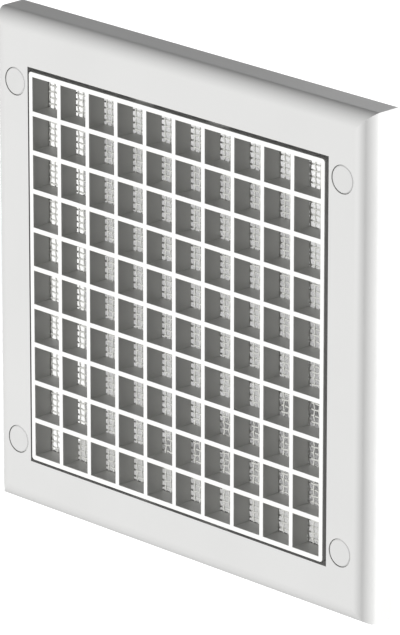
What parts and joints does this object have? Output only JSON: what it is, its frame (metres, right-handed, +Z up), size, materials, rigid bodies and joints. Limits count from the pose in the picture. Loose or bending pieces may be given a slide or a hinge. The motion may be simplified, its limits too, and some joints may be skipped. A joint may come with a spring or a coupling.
{
  "type": "square vent grille",
  "caption": "Square ventilation grille: cushion-edged frame with rear collar, lift-out egg-crate core, insect net behind it and flush screw caps.",
  "frame": {"origin": "centre of the four screw holes in the wall plane, on the middle line of the opening", "axes": "+Y into the wall along the collar, -Y out of the face, +Z up, +X to the right seen from the room"},
  "size_m": [0.16, 0.0215, 0.16],
  "materials": {
    "frame_plastic": "satin moulded, light grey",
    "core_plastic": "satin moulded, white",
    "net_plastic": "matt net, off-white",
    "cap_plastic": "satin moulded, light grey"
  },
  "bodies": {
    "root": {"frame": "frame_plastic", "grille_core": "core_plastic", "insect_net": "net_plastic", "cap_upper_left": "cap_plastic", "cap_upper_right": "cap_plastic", "cap_lower_left": "cap_plastic", "cap_lower_right": "cap_plastic"}
  },
  "joints": []
}
